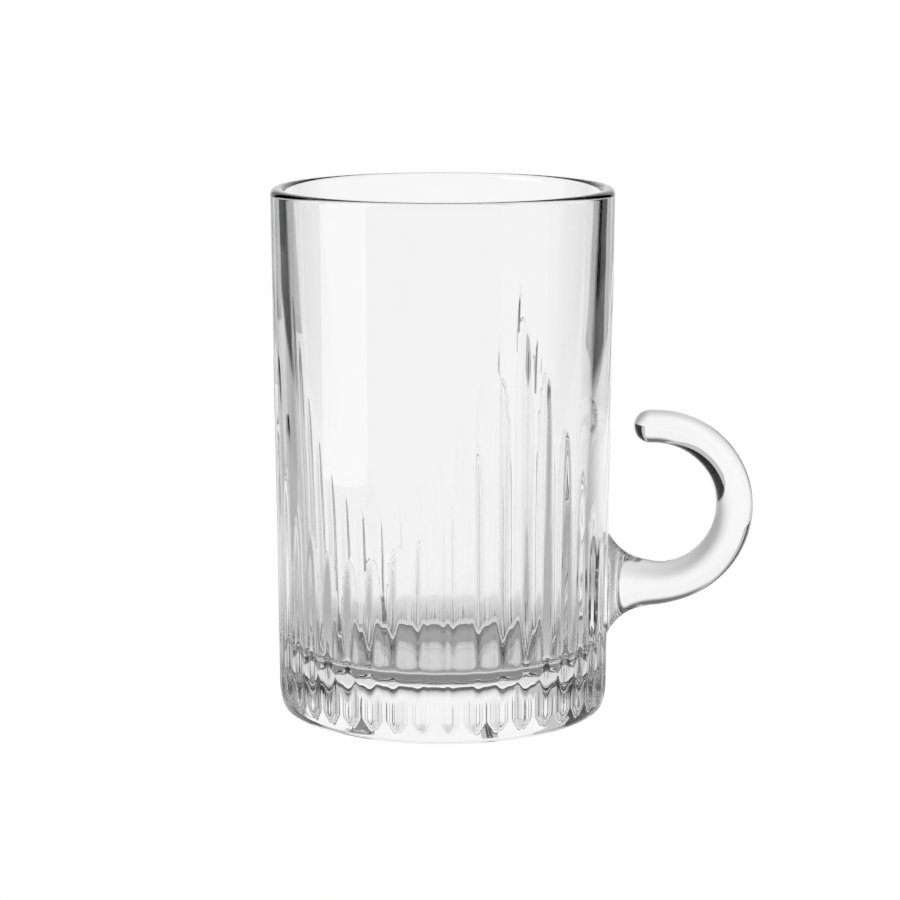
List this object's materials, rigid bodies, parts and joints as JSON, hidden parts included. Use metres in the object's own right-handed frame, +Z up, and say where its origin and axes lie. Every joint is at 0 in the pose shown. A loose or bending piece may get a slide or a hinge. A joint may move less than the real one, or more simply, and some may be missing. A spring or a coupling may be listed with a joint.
{
  "type": "glass teacup",
  "caption": "Clear pressed-glass teacup with a tall straight bowl, rising and falling flutes, a thick flat base and an open hook handle of glass rod fused low on the wall.",
  "frame": {"origin": "centre of the flat foot, on the cup's axis", "axes": "+Z up along the cup's axis, +X from the axis towards the handle"},
  "size_m": [0.0877, 0.062, 0.0952],
  "materials": {
    "body_glass": "clear colourless pressed glass, fire-polished",
    "handle_glass": "clear colourless drawn glass rod, fire-polished"
  },
  "bodies": {
    "root": {"cup_body": "body_glass", "handle": "handle_glass"}
  },
  "joints": []
}
